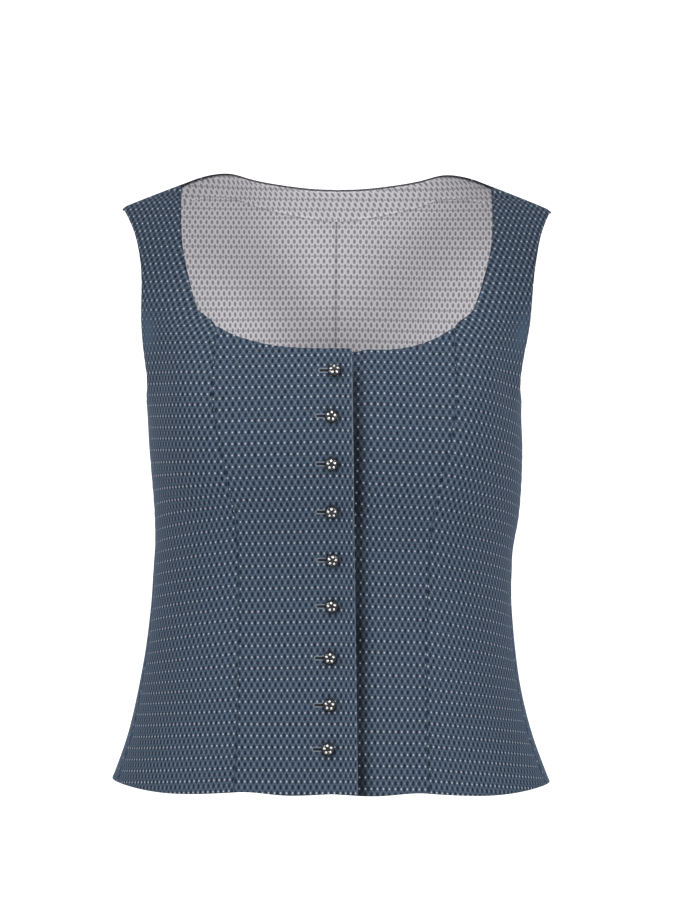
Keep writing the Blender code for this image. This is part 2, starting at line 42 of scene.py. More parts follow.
# Body shape in millimetres, the same tables as the solids have
# turn: 0 centre front, 1 princess seam, 2 widest line, 4 centre back, negative on the wearer's right
# level: height up to the bust line, then runs to 0 at the shoulder ridge
# out: distance from the middle
bustLevel = -192.0
centreBack = 4
sectionNames = ("level", "half", "seam", "side", "front", "back", "square", "lean")
sections = (
    (-560, 206.0, 85.0, -20, -137, 120, 2.2, -0.8),
    (-524, 193.0, 83.5, -20, -133, 116, 2.2, -0.8),
    (-482, 178.2, 81.5, -20, -129, 110, 2.25, -1.8),
    (-440, 168.0, 80.3, -20, -126, 102, 2.3, -2.5),
    (-395, 161.2, 79.8, -21, -123, 92, 2.4, -2.0),
    (-350, 157.6, 80.8, -23, -123, 84, 2.45, -1.5),
    (-318, 157.2, 82.0, -27, -127, 83, 2.5, 0.2),
    (-290, 159.6, 84.5, -32, -134, 85, 2.6, 2.3),
    (-262, 161.7, 89.8, -38, -142, 88, 2.75, 2.3),
    (-232, 163.0, 97.0, -44, -146, 92, 2.9, 1.3),
    (-192, 163.7, 103.5, -46, -143, 96, 3.0, -0.6),
    (-150, 168.5, 103.0, -46, -142, 96, 3.0, -1.0),
    (-110, 175.5, 102.0, -46, -142, 96, 3.0, 0.6),
    (-60, 189.0, 102.0, -46, -142, 96, 3.0, 2.4),
    (0, 206.0, 102.0, -46, -142, 96, 3.0, 0.5),
)
# out, height, depth
ridge = (
    (0, 22.0, 46), (60, 20.0, 36), (100, 14.5, 18), (118, 8.6, 7),
    (137, 1.0, 0), (165, -9.7, 0), (190, -19.5, 0), (206, -26.0, 0),
)
# turn, level
hem = (
    (0, -525.4), (0.45, -527.0), (0.9, -524.4), (1.4, -527.6),
    (1.8, -523.4), (2.1, -521.6), (3.0, -522.4), (4.0, -523.4),
)
# out, height
frontNeckline = ((0, -146.0), (24, -145.8), (48, -144.3), (68, -140.6), (88, -134.4), (102, -127.5))
frontNeckSide = (
    (102, -127.5), (110.5, -121.5), (117.8, -113.0), (123.8, -99.2),
    (130.0, -77.7), (134.8, -56.0), (136.6, -34.0), (137.0, 0.0),
)
backNeckline = ((0, 0.0), (35, 1.5), (70, 6.0), (100, 11.5), (118, 7.5), (137, 0.0))
frontArmhole = (
    (163.5, -186.5), (162.9, -175.0), (165.8, -154.0), (168.9, -136.0), (170.6, -120.0),
    (171.2, -101.5), (172.0, -83.5), (174.2, -66.0), (179.3, -44.0), (190.0, -19.5),
)
backArmhole = (
    (163.0, -186.5), (159.6, -172.0), (160.0, -150.0), (162.5, -120.0),
    (166.5, -95.0), (172.5, -68.0), (180.0, -43.0), (190.0, -19.5),
)
# level, turn of the side seam, turn of the back seam
seams = (
    (-560, 1.80, 3.30), (-524, 1.82, 3.31), (-440, 1.86, 3.36), (-350, 1.90, 3.38),
    (-262, 1.97, 3.22), (-215, 2.02, 2.98), (-192, 2.04, 2.86),
)
body = {
    "frontBow": 3.5,        # mm that the front falls back from the middle to the princess seam
    "sideRound": 1.7,       # power of the curve from the seam to the side
    "backFull": 8.0,        # mm that the back stands out between the bust line and the shoulder
    "ridgeSlope": 0.75,
    "ridgeRound": 4.0,
    "hollow": 4.0,          # mm, beside each armhole
    "hollowTurn": 1.60,
    "hollowLevel": -158,
}


def smoothLine(knots, values):
    knots = np.asarray(knots, float)
    values = np.asarray(values, float)
    slopes = np.gradient(values, knots)

    def value(at):
        at = np.clip(at, knots[0], knots[-1])
        i = np.clip(np.searchsorted(knots, at) - 1, 0, len(knots) - 2)
        span = knots[i + 1] - knots[i]
        t = (at - knots[i]) / span
        rise = values[i] * (1 + 2 * t) * (1 - t) ** 2 + values[i + 1] * t * t * (3 - 2 * t)
        return rise + span * (slopes[i] * t * (1 - t) ** 2 - slopes[i + 1] * t * t * (1 - t))

    return value


def tableLine(table, place):
    return smoothLine([row[0] for row in table], [row[place] for row in table])


section = {name: tableLine(sections, i) for i, name in enumerate(sectionNames) if i}
ridgeHeight = tableLine(ridge, 1)
ridgeDepth = tableLine(ridge, 2)
hemLine = tableLine(hem, 1)
sideSeam = tableLine(seams, 1)
backSeam = tableLine(seams, 2)


def ease(t):
    t = np.clip(t, 0.0, 1.0)
    return t * t * (3 - 2 * t)


def bell(t):
    return np.exp(-np.square(t))


def bodyPoint(turn, level):
    turn, level = np.broadcast_arrays(np.asarray(turn, float), np.asarray(level, float))
    wearerSide = np.where(turn < 0, -1.0, 1.0)
    turn = np.abs(turn)
    wearerSide = np.where(turn > centreBack, -wearerSide, wearerSide)
    turn = np.where(turn > centreBack, 2 * centreBack - turn, turn)
    half, seam, side, front = (section[name](level) for name in ("half", "seam", "side", "front"))
    angle = np.clip(turn - 1, 0, 1) * math.pi / 2
    power = 2 / body["sideRound"]
    princess = front + body["frontBow"]
    outs = [seam * turn, seam + (half - seam) * np.sin(angle) ** power]
    depths = [front + body["frontBow"] * turn * turn]
    depths.append(side + (princess - side) * np.clip(np.cos(angle), 0, None) ** power)
    angle = np.clip(turn - 2, 0, 2) * math.pi / 4
    power = 2 / section["square"](level)
    outs.append(half * np.clip(np.cos(angle), 0, None) ** power)
    depths.append(side + (section["back"](level) - side) * np.sin(angle) ** power)
    part = [turn <= 1, turn <= 2, turn > 2]
    out = np.select(part, outs)
    depth = np.select(part, depths)
    rise = np.clip((level - bustLevel) / -bustLevel, 0.0, 1.0)
    power = 1.3 + 0.6 * ease((turn - 1.7) / 0.6)
    behind = ridgeDepth(out)
    fall = (1 - rise ** power) ** (1 / power)
    fuller = body["backFull"] * np.sin(math.pi * rise) * ease((turn - 2.3) / 0.8)
    leaned = behind + (depth - behind) * fall + fuller
    slope = body["ridgeSlope"] * np.abs(leaned - behind)
    rounding = np.sqrt(slope * slope + body["ridgeRound"] ** 2) - slope
    height = bustLevel + rise * (ridgeHeight(out) + body["ridgeRound"] - bustLevel) - rounding * rise
    above = level > bustLevel
    depth = np.where(above, leaned, depth)
    height = np.where(above, height, level)
    lean = section["lean"](level) * ease(turn - 0.9) * ease(3.8 - turn)
    hollow = body["hollow"] * bell((turn - body["hollowTurn"]) / 0.13)
    hollow = hollow * bell((level - body["hollowLevel"]) / 34)
    return np.stack([wearerSide * (out - 0.5 * hollow) + lean, depth + 0.85 * hollow, height], axis=-1)


def levelAt(out, height):
    rise = (height - bustLevel) / (ridgeHeight(out) - bustLevel)
    return bustLevel * (1 - np.minimum(rise, 1.0))


def turnAt(out, level, behind=False):
    half = section["half"](level)
    seam = section["seam"](level)
    if behind:
        return 2 + math.acos(min(out / half, 1.0) ** (section["square"](level) / 2)) * 4 / math.pi
    share = min(max((out - seam) / (half - seam), 0.0), 1.0)
    return 1 + math.asin(share ** (body["sideRound"] / 2)) * 2 / math.pi


def edgePlaces(table, behind=False):
    places = []
    for out, height in table:
        level = float(levelAt(out, height))
        places.append((float(turnAt(out, level, behind)), level))
    return places


def along(places, share):
    places = np.asarray(places, float)
    knots = np.arange(len(places))
    at = np.asarray(share) * knots[-1]
    turn = smoothLine(knots, places[:, 0])(at)
    level = smoothLine(knots, places[:, 1])(at)
    return np.stack([turn, np.minimum(level, 0.0)], axis=-1)


def spaced(places, count, crowding=1.0):
    fine = np.linspace(0, 1, 12 * len(places))
    line = along(places, fine)
    steps = np.linalg.norm(np.diff(bodyPoint(line[:, 0], line[:, 1]), axis=0), axis=1)
    reached = np.concatenate(([0.0], np.cumsum(steps)))
    wanted = reached[-1] * (1 - np.linspace(1, 0, count + 1) ** crowding)
    return [tuple(place) for place in along(places, np.interp(wanted, reached, fine))]


def straight(first, last, count):
    steps = np.linspace(0, 1, count + 1)
    return [(first[0] + (last[0] - first[0]) * s, first[1] + (last[1] - first[1]) * s) for s in steps]


def hemLevel(turn):
    turn = np.abs(turn)
    return hemLine(np.minimum(turn, 2 * centreBack - turn))


def hemPlaces(first, last, count):
    return [(turn, float(hemLevel(turn))) for turn, _ in straight(first, last, count)]


def hemToBust(line):
    levels = np.linspace(hemLevel(line(hem[0][1])), bustLevel, 19)
    return [(float(line(level)), float(level)) for level in levels]


def princessPlaces():
    low = straight((1.0, float(hemLevel(1.0))), (1.0, bustLevel), 18)
    return low + straight((1.0, bustLevel), (1.0, float(levelAt(*frontNeckline[-1]))), 4)[1:]


def lapEdge(height):
    top, bottom = frontNeckline[0][1], hem[0][1]
    return lap["edgeAtNeck"] + lap["edgeMoves"] * (top - height) / (top - bottom)


def patch(bottom, top, left, right, s, t):
    bottom, top = along(bottom, s)[None], along(top, s)[None]
    leftEnds, rightEnds = along(left, (0, 1)), along(right, (0, 1))
    left, right = along(left, t)[:, None], along(right, t)[:, None]
    s = s[None, :, None]
    t = t[:, None, None]
    lowEnds = (1 - s) * leftEnds[0] + s * rightEnds[0]
    highEnds = (1 - s) * leftEnds[1] + s * rightEnds[1]
    grid = (1 - s) * left + s * right + (1 - t) * bottom + t * top - ((1 - t) * lowEnds + t * highEnds)
    grid[..., 1] = np.minimum(grid[..., 1], 0.0)
    return grid


def shares(length, step, lowEdge=True, highEdge=True):
    # rows of points crowd at an edge, where the cloth is rounded off
    near = np.array([0, 0.2, 0.5, 0.9, 1.5, 2.3, 3.4]) / length
    count = max(int(length / step), 4)
    inner = np.linspace(0, 1, count + 1)
    low = near if lowEdge else np.array([0.0])
    high = 1 - near if highEdge else np.array([1.0])
    keep = inner[(inner > low[-1] + 0.5 / count) & (inner < high[-1] - 0.5 / count)]
    return np.unique(np.concatenate([low, keep, high]))


def mirrored(grid):
    grid = grid[:, ::-1].copy()
    grid[..., 0] *= -1
    return grid


# Cloth: one repeat of the weave, its colours, and the colours of its painted shade, sheen and highlight
cloth = {
    "dotAcross": 5.1,      # mm from dot to dot
    "dotUp": 9.75,
    "bustStretch": 1.09,   # the repeat is this much wider over the bust
    "thickness": 1.5,      # mm
    "lattice": (0.064, 0.093, 0.136),
    "oval": (0.003, 0.008, 0.019),
    "dot": (0.43, 0.47, 0.54),
    "faintDot": (0.16, 0.20, 0.26),
    "paintedSheen": (0.060, 0.102, 0.158),    # painted sheen: flat blue where the pattern is lost as the cloth turns away
    "paintedEdgeHighlight": (0.26, 0.30, 0.36),    # painted highlight on the turned edge of the lap
    "reverse": (0.68, 0.66, 0.69),
    "reverseMark": (0.10, 0.10, 0.12),
    "reverseDot": (0.05, 0.05, 0.065),
    "paintedShadeColour": (0.002, 0.004, 0.009),      # painted shade colour, in creases, seams, the lap valley and under the buttons
    # painted shade colour on the reverse
    "reversePaintedShadeColour": (0.02, 0.02, 0.03),
    "roughness": 0.62,
    "reverseRoughness": 0.8,
    "sheen": (0.20, 0.45, 1.0),
    "sheenWeight": 0.06,
    "sheenRoughness": 0.3,
    "shine": 0.12,
    "relief": 0.00025,                  # m
}
# Half width, half height in mm, softness of the edge
ovalShape = (1.18, 2.25, 0.35)
dotShape = (0.66, 0.8, 0.35)
faintShape = (0.7, 0.95, 0.5)
# How rows and columns spread where the cloth is pulled, beside what each panel's grain says
pull = {
    "hemFrom": -400,        # level under which the rows flatten towards the hem
    "hemOver": 70,
    "middleHemLoss": 0.7,
    "strapLoose": 0.20,     # columns stand apart on the straps
    "strapTight": 0.05,
    "hemTight": 0.09,
    "seamFall": 0.031,      # mm down per mm out, up to the princess seam
    "strapFall": 0.08,
    "strapFallFrom": -165,
}
puckers = {
    "seamDip": 0.85,       # mm that a panel sinks at its seam
    "seamWidth": 2.2,
    "seamRipple": 0.22,
    "rippleRows": 1.13,    # rows of dots from ripple to ripple
    "edgeScallop": 0.35,   # mm, one bump to each row of dots
    "hemScallop": 0.4,     # share of that at the hem
    "edgeRoll": 0.25,
    "edgeRound": 0.75,
    # painted highlight along the lap edge
    "paintedEdgeHighlight": 0.35,
    "paintedEdgeHighlightHigh": 0.4,  # more of the painted highlight over the waist
}
lap = {
    "edgeAtNeck": 15.0,    # mm past the middle
    "edgeMoves": 7.5,      # farther out by this at the hem
    "underEdge": -20.0,    # mm, where the left front ends under the right one
    "valleyWidth": 13.0,
    "valleyDip": 3.4,      # extra depth of the valley beside the edge
    "sunk": 1.9,
}
# Soft folds: turn, level, half length, half width in mm, angle in degrees, height in mm
folds = (
    (-1.30, -262, 34, 9, 28, 0.9), (-1.52, -300, 30, 8, 22, -0.8), (-1.62, -338, 26, 7, 10, 0.8),
    (-1.55, -372, 30, 9, -6, -0.7), (1.28, -270, 32, 10, -24, 0.8), (1.50, -312, 28, 8, -18, -0.9),
    (1.60, -352, 28, 8, -6, 0.7), (1.45, -398, 34, 10, 8, -0.6), (-0.55, -222, 40, 16, 8, 0.7),
    (0.62, -226, 36, 15, -10, 0.6), (-0.50, -300, 46, 13, 4, -0.6), (0.60, -318, 40, 14, -5, -0.6),
    (-1.25, -440, 40, 14, 80, 0.9), (-1.70, -470, 44, 16, 84, -1.1), (1.30, -452, 42, 15, 98, 0.9),
    (1.72, -462, 40, 16, 92, -1.0), (-1.20, -150, 30, 10, 62, 0.6), (1.22, -146, 30, 10, 120, 0.6),
    (-1.52, -112, 20, 6, 40, -1.5), (-1.62, -150, 26, 10, 75, 1.6), (1.60, -122, 22, 7, 130, -1.0),
    (1.64, -160, 26, 10, 105, 1.4), (2.35, -330, 36, 9, 14, 0.9), (2.60, -372, 34, 10, -8, -0.8),
    (-2.40, -322, 34, 9, -12, 0.9), (-2.55, -366, 36, 10, 10, -0.8), (3.55, -318, 60, 12, 4, 1.0),
    (-3.60, -346, 56, 12, -5, -1.0), (3.70, -372, 52, 12, -4, -0.8), (-3.50, -300, 48, 11, 6, 0.8),
    (2.90, -455, 44, 18, 88, 1.1), (-2.95, -460, 44, 18, 92, 1.0), (3.70, -460, 46, 18, 90, -1.0),
    (-3.75, -466, 44, 18, 88, -0.9),
)
hemWaves = {"height": 1.0, "from": -525, "reach": 48.0}
mmPerTurn = 88.0


def foldHeight(turn, level):
    x = turn * mmPerTurn
    height = np.zeros_like(x)
    for foldTurn, foldLevel, length, width, angle, size in folds:
        dx = x - foldTurn * mmPerTurn
        dz = level - foldLevel
        c, s = math.cos(math.radians(angle)), math.sin(math.radians(angle))
        height += size * bell((dx * c + dz * s) / length) * bell((-dx * s + dz * c) / width)
    rise = np.clip((level - hemWaves["from"]) / hemWaves["reach"], 0, 1)
    height += hemWaves["height"] * (1 - rise) ** 2 * np.sin(5.3 * turn + 0.9 * np.sin(2.1 * turn + 0.4))
    return height


def bodyFacing(grid, reachesRidge):
    turn, level = grid[..., 0], grid[..., 1]
    acrossStep = bodyPoint(turn + 0.004, level) - bodyPoint(turn - 0.004, level)
    upStep = bodyPoint(turn, np.minimum(level + 0.8, 0)) - bodyPoint(turn, level - 0.8)
    facing = np.cross(acrossStep, upStep)
    if reachesRidge:
        facing[..., 1] *= np.where(level > -1e-6, 0.0, 1.0)
    return facing / np.linalg.norm(facing, axis=-1, keepdims=True)


def normals(points):
    acrossStep = np.gradient(points, axis=1)
    upStep = np.gradient(points, axis=0)
    facing = np.cross(acrossStep, upStep)
    return facing / np.linalg.norm(facing, axis=-1, keepdims=True)


def lengths(points, axis):
    steps = np.linalg.norm(np.diff(points, axis=axis), axis=-1)
    start = np.zeros_like(np.take(steps, [0], axis=axis))
    return np.concatenate([start, np.cumsum(steps, axis=axis)], axis=axis)


def clothCells(grid, points, grain):
    # pattern coordinates, in repeats
    across = lengths(points, 1)
    turn, level = grid[..., 0], grid[..., 1]
    x, z = points[..., 0], points[..., 2]
    side = -1.0 if turn.mean() < 0 else 1.0
    nearHem = ease((pull["hemFrom"] - level) / pull["hemOver"])
    if grain["from"] == "middle":
        fall = grain["fall"] * np.abs(x) * (1 - pull["middleHemLoss"] * nearHem)
        u = x + grain.get("crowdAtLap", 0.0) * np.clip(x - lapEdge(z) + 13, 0, None)
    elif grain["from"] == "seam":
        outward = across if side > 0 else across[:, -1:] - across
        innerEdge = np.abs(points[:, :1, 0] if side > 0 else points[:, -1:, 0])
        loosened = 1 + pull["strapLoose"] * bell((level + 105) / 45)
        loosened = loosened - pull["strapTight"] * ease((level + 60) / 40) - pull["hemTight"] * nearHem
        u = side * (innerEdge + outward / loosened)
        sunk = grain["fall"] * ease((grain["fallFrom"] - level) / grain["fallOver"])
        fall = pull["seamFall"] * innerEdge + sunk * outward
        fall = fall - (grain["fall"] - grain["hemFall"]) * nearHem * outward
    else:
        outward = across[:, -1:] - across if side > 0 else across
        u = side * outward
        fall = grain["fall"] * outward
    column = points[:, points.shape[1] // 2]    # rows of the weave lie level, as long as this column
    lean = grain["lean"] * np.clip(z + 524, 0, None) + grain["strapLean"] * np.clip(z + 170, 0, None)
    u = u + side * lean
    stretch = 1 + (cloth["bustStretch"] - 1) * ease((level + 300) / 60)
    if grain["from"] == "seam":
        fall = fall + pull["strapFall"] * np.clip(z - pull["strapFallFrom"], 0, None)
    rise = np.hypot(np.diff(column[:, 2]), np.diff(column[:, 1]))
    reached = column[0, 2] + np.concatenate([[0.0], np.cumsum(rise)])
    top = np.argmax(column[:, 2]) + 1
    v = np.interp(z, column[:top, 2], reached[:top])
    v += np.clip(z - column[top - 1, 2], 0, None) + np.clip(z - column[0, 2], None, 0)
    u = u / cloth["dotAcross"] / stretch + grain.get("shift", 0.0)
    return u, (v + fall) / cloth["dotUp"] + grain.get("drop", 0.0)


def shell(name, grid, grain, materials, edges, sink=None, dark=None, thickness=cloth["thickness"],
          reachesRidge=False, lower=0.0, paintedHighlightAlong=None):
    # edges: seam, free, hem, ridge or turned for each side, and none where the cloth just ends
    # sink gives mm that the cloth lies deeper, dark how much colour is left there under painted shade; the
    # last argument names the edge with a painted highlight
    points = bodyPoint(grid[..., 0], grid[..., 1])
    facing = bodyFacing(grid, reachesRidge)
    u, v = clothCells(grid, points, grain)
    height = foldHeight(grid[..., 0], grid[..., 1])
    turn, level = np.abs(grid[..., 0]), grid[..., 1]
    # painted shade: a little darker in the armhole hollow
    paintedShade = 1 - 0.10 * bell((turn - 1.62) / 0.12) * bell((level + 125) / 26)
    # painted shade: the straps darker higher up, where they face up
    if grain["from"] == "seam":
        paintedShade = paintedShade * (1 - 0.20 * ease((level + 115) / 60))
    if sink is not None:
        height = height - sink(points)
        paintedShade = paintedShade * dark(points)
    across, up = lengths(points, 1), lengths(points, 0)
    distance = {"left": across, "right": across[:, -1:] - across, "bottom": up, "top": up[-1:] - up}
    # painted sheen: flat blue at the armhole hollows and down the sides, where the cloth turns away
    paintedSheen = 0.85 * bell((turn - 1.70) / 0.10) * bell((level + 128) / 18)
    paintedSheen = paintedSheen + 0.50 * bell((turn - 1.93) / 0.15) * ease((-150 - level) / 60)
    paintedEdgeHighlight = np.zeros_like(height)
    outerSink = np.zeros_like(height)
    innerLift = np.zeros_like(height)
    for edge, kind in edges.items():
        d = distance[edge]
        run = v if edge in ("left", "right") else u * 0.53
        if kind == "seam":
            height -= puckers["seamDip"] * bell(d / puckers["seamWidth"])
            ripple = np.sin(2 * math.pi * run / puckers["rippleRows"] + 0.8 * np.sin(run * 1.7))
            height += puckers["seamRipple"] * ripple * bell((d - 2.2) / 2.4)
            # painted shade in the sunk seam
            paintedShade = paintedShade * (1 - (0.35 + 0.2 * ripple) * bell(d / 1.2))
        elif kind in ("ridge", "turned"):
            # painted shade along the ridge and the turned neck edge
            paintedShade = paintedShade * (1 - 0.8 * bell(d / (0.9 if kind == "ridge" else 2.0)))
        elif kind in ("free", "hem"):
            r = puckers["edgeRound"]
            inside = np.clip(r - d, 0, r)
            roundOff = r - np.sqrt(np.clip(r * r - inside * inside, 0, None))
            outerSink = np.maximum(outerSink, roundOff)
            innerLift = np.maximum(innerLift, roundOff * (thickness - r) / r)
            bump = puckers["edgeScallop"] * (1.0 if kind == "free" else puckers["hemScallop"])
            roll = puckers["edgeRoll"] * bell((d - 2.0) / 2.0)
            height += bump * np.cos(2 * math.pi * run) * bell(d / 2.6) + roll
            # painted highlight along the chosen free edge
            if edge == paintedHighlightAlong:
                light = puckers["paintedEdgeHighlight"] + puckers["paintedEdgeHighlightHigh"] * ease((level + 330) / 120)
                paintedEdgeHighlight = light * bell((d - 0.2) / 0.6) * (0.72 + 0.28 * np.sin(3.1 * run))
    placed = points + facing * height[..., None]
    outer = placed - facing * (outerSink + lower)[..., None]
    inner = placed - facing * (thickness - innerLift + lower)[..., None]
    rows, columns = height.shape
    count = rows * columns
    index = np.arange(count).reshape(rows, columns)
    a, b, c, d = index[:-1, :-1], index[:-1, 1:], index[1:, 1:], index[1:, :-1]
    outerFaces = np.stack([a, b, c, d], axis=-1).reshape(-1, 4)
    innerFaces = outerFaces[:, ::-1] + count
    rim = np.concatenate([index[0, :-1], index[:-1, -1], index[-1, :0:-1], index[:0:-1, 0]])
    after = np.roll(rim, -1)
    rimFaces = np.stack([rim, rim + count, after + count, after], axis=-1)
    faces = np.concatenate([outerFaces, innerFaces, rimFaces])
    verts = np.concatenate([outer.reshape(-1, 3), inner.reshape(-1, 3)]) * 0.001
    mesh = bpy.data.meshes.new(name)
    mesh.from_pydata(verts.tolist(), [], faces.tolist())
    layer = mesh.uv_layers.new(name="weave")
    cells = np.stack([np.tile(u.reshape(-1), 2), np.tile(v.reshape(-1), 2)], axis=-1)
    layer.data.foreach_set("uv", cells[faces.reshape(-1)].astype(np.float32).reshape(-1))
    # painted shade, painted sheen and painted highlight go to the material as point attributes
    for attribute, values in (("paintedShade", paintedShade), ("paintedSheen", paintedSheen), ("paintedEdgeHighlight", paintedEdgeHighlight)):
        layer = mesh.attributes.new(attribute, "FLOAT", "POINT")
        layer.data.foreach_set("value", np.tile(values.reshape(-1), 2).astype(np.float32))
    for material in materials:
        mesh.materials.append(material)
    slots = np.zeros(len(faces), np.int32)
    slots[len(outerFaces):len(outerFaces) + len(innerFaces)] = len(materials) - 1
    mesh.polygons.foreach_set("material_index", slots)
    mesh.shade_smooth()
    mesh.update()
    piece = bpy.data.objects.new(name, mesh)
    bpy.context.scene.collection.objects.link(piece)
    cells = np.cross(np.diff(points, axis=1)[:-1], np.diff(points, axis=0)[:, :-1])
    area = np.linalg.norm(cells, axis=-1).sum() / 1e6
    print("%s: %d faces, %.4f square metres" % (name, len(faces), area))
    return piece


# Materials
def calc(tree, operation, *values):
    node = tree.nodes.new("ShaderNodeMath")
    node.operation = operation
    for place, value in enumerate(values):
        if isinstance(value, (int, float)):
            node.inputs[place].default_value = value
        else:
            tree.links.new(value, node.inputs[place])
    return node.outputs[0]


def mixColour(tree, factor, first, second):
    node = tree.nodes.new("ShaderNodeMix")
    node.data_type = "RGBA"
    for place, value in ((0, factor), (6, first), (7, second)):
        if isinstance(value, tuple):
            node.inputs[place].default_value = (*value, 1.0)
        elif isinstance(value, float):
            node.inputs[place].default_value = value
        else:
            tree.links.new(value, node.inputs[place])
    return node.outputs[2]


def fade(tree, value, start, end):
    node = tree.nodes.new("ShaderNodeMapRange")
    node.interpolation_type = "SMOOTHSTEP"
    tree.links.new(value, node.inputs[0])
    node.inputs[1].default_value = start
    node.inputs[2].default_value = end
    node.inputs[3].default_value = 1.0
    node.inputs[4].default_value = 0.0
    return node.outputs[0]


def spot(tree, u, v, shiftU, shiftV, halfWidth, halfHeight, softness):
    across = calc(tree, "PINGPONG", calc(tree, "ADD", u, shiftU), 0.5)
    up = calc(tree, "PINGPONG", calc(tree, "ADD", v, shiftV), 0.5)
    across = calc(tree, "MULTIPLY", across, cloth["dotAcross"] / halfWidth)
    up = calc(tree, "MULTIPLY", up, cloth["dotUp"] / halfHeight)
    squares = calc(tree, "ADD", calc(tree, "MULTIPLY", across, across), calc(tree, "MULTIPLY", up, up))
    return fade(tree, calc(tree, "SQRT", squares), 1 - softness, 1 + softness)


def newMaterial(name, colour, roughness, metallic=0.0):
    material = bpy.data.materials.new(name)
    material.use_nodes = True
    shader = material.node_tree.nodes["Principled BSDF"]
    shader.inputs["Base Color"].default_value = (*colour, 1.0)
    shader.inputs["Roughness"].default_value = roughness
    shader.inputs["Metallic"].default_value = metallic
    return material, material.node_tree, shader


def weaveMaterial(name, reverse=False):
    material, tree, shader = newMaterial(name, cloth["lattice"], cloth["roughness"])
    coords = tree.nodes.new("ShaderNodeUVMap")
    coords.uv_map = "weave"
    split = tree.nodes.new("ShaderNodeSeparateXYZ")
    tree.links.new(coords.outputs[0], split.inputs[0])
    u, v = split.outputs[0], split.outputs[1]
    noise = tree.nodes.new("ShaderNodeTexNoise")
    noise.inputs["Scale"].default_value = 2.3
    noise.inputs["Detail"].default_value = 3.0
    tree.links.new(coords.outputs[0], noise.inputs["Vector"])
    ovals = [spot(tree, u, v, shiftU, 0.5 - shiftU, *ovalShape) for shiftU in (0.5, 0.0)]
    ovals = calc(tree, "MAXIMUM", *ovals)
    dots = spot(tree, u, v, 0.0, 0.0, *dotShape)
    faint = spot(tree, u, v, 0.5, 0.5, *faintShape)
    slanted = calc(tree, "ADD", calc(tree, "MULTIPLY", v, 2.0), u)
    threads = calc(tree, "SINE", calc(tree, "MULTIPLY", slanted, 44.0))
    marks = []
    for attribute in ("paintedShade", "paintedSheen", "paintedEdgeHighlight"):
        node = tree.nodes.new("ShaderNodeAttribute")
        node.attribute_name = attribute
        marks.append(node.outputs["Fac"])
    paintedShade, paintedSheen, paintedEdgeHighlight = marks
    # share of the dots left outside the painted sheen
    outsideSheen = calc(tree, "SUBTRACT", 1.0, paintedSheen)
    if reverse:
        colour = mixColour(tree, calc(tree, "MULTIPLY", ovals, 0.75), cloth["reverse"], cloth["reverseMark"])
        colour = mixColour(tree, calc(tree, "MULTIPLY", dots, 0.7), colour, cloth["reverseDot"])
        # the reverse turns to its painted shade colour where the shade mask is low
        colour = mixColour(tree, paintedShade, cloth["reversePaintedShadeColour"], colour)
        shader.inputs["Roughness"].default_value = cloth["reverseRoughness"]
    else:
        worn = calc(tree, "MULTIPLY", ovals, fade(tree, noise.outputs[0], 0.75, 0.25))
        darkness = calc(tree, "ADD", calc(tree, "MULTIPLY", worn, 0.32), calc(tree, "MULTIPLY", ovals, 0.68))
        colour = mixColour(tree, darkness, cloth["lattice"], cloth["oval"])
        colour = mixColour(tree, calc(tree, "MULTIPLY", faint, 0.8), colour, cloth["faintDot"])
        # painted sheen mixed over the pattern
        colour = mixColour(tree, paintedSheen, colour, cloth["paintedSheen"])
        # painted shade: towards the shade colour where the mask is low
        colour = mixColour(tree, paintedShade, cloth["paintedShadeColour"], colour)
        # the dots are dimmed under the painted shade too
        lit = calc(tree, "ADD", calc(tree, "MULTIPLY", paintedShade, 0.45), 0.55)
        shown = calc(tree, "MULTIPLY", calc(tree, "MULTIPLY", dots, lit), outsideSheen)
        colour = mixColour(tree, shown, colour, cloth["dot"])
        # painted highlight mixed in along the lap edge
        colour = mixColour(tree, paintedEdgeHighlight, colour, cloth["paintedEdgeHighlight"])
        shader.inputs["Sheen Weight"].default_value = cloth["sheenWeight"]
        shader.inputs["Sheen Roughness"].default_value = cloth["sheenRoughness"]
        shader.inputs["Specular IOR Level"].default_value = cloth["shine"]
        shader.inputs["Sheen Tint"].default_value = (*cloth["sheen"], 1.0)
    tree.links.new(colour, shader.inputs["Base Color"])
    height = calc(tree, "SUBTRACT", calc(tree, "MULTIPLY", dots, 0.8), calc(tree, "MULTIPLY", ovals, 0.6))
    height = calc(tree, "ADD", height, calc(tree, "MULTIPLY", threads, 0.15))
    bump = tree.nodes.new("ShaderNodeBump")
    bump.inputs["Strength"].default_value = 0.5
    bump.inputs["Distance"].default_value = cloth["relief"]
    tree.links.new(height, bump.inputs["Height"])
    tree.links.new(bump.outputs[0], shader.inputs["Normal"])
    return material


faceCloth = weaveMaterial("jacquard")
reverseCloth = weaveMaterial("jacquard reverse", True)
gunmetal = newMaterial("gunmetal", (0.065, 0.066, 0.07), 0.26, 1.0)[0]
polish = newMaterial("worn petals", (0.92, 0.92, 0.9), 0.3, 1.0)[0]
buttonholeThread = newMaterial("buttonhole thread", (0.15, 0.185, 0.235), 0.55)[0]
slitDark = newMaterial("slit shadow", (0.004, 0.005, 0.008), 0.9)[0]
clothSides = [faceCloth, reverseCloth]
print("materials made")

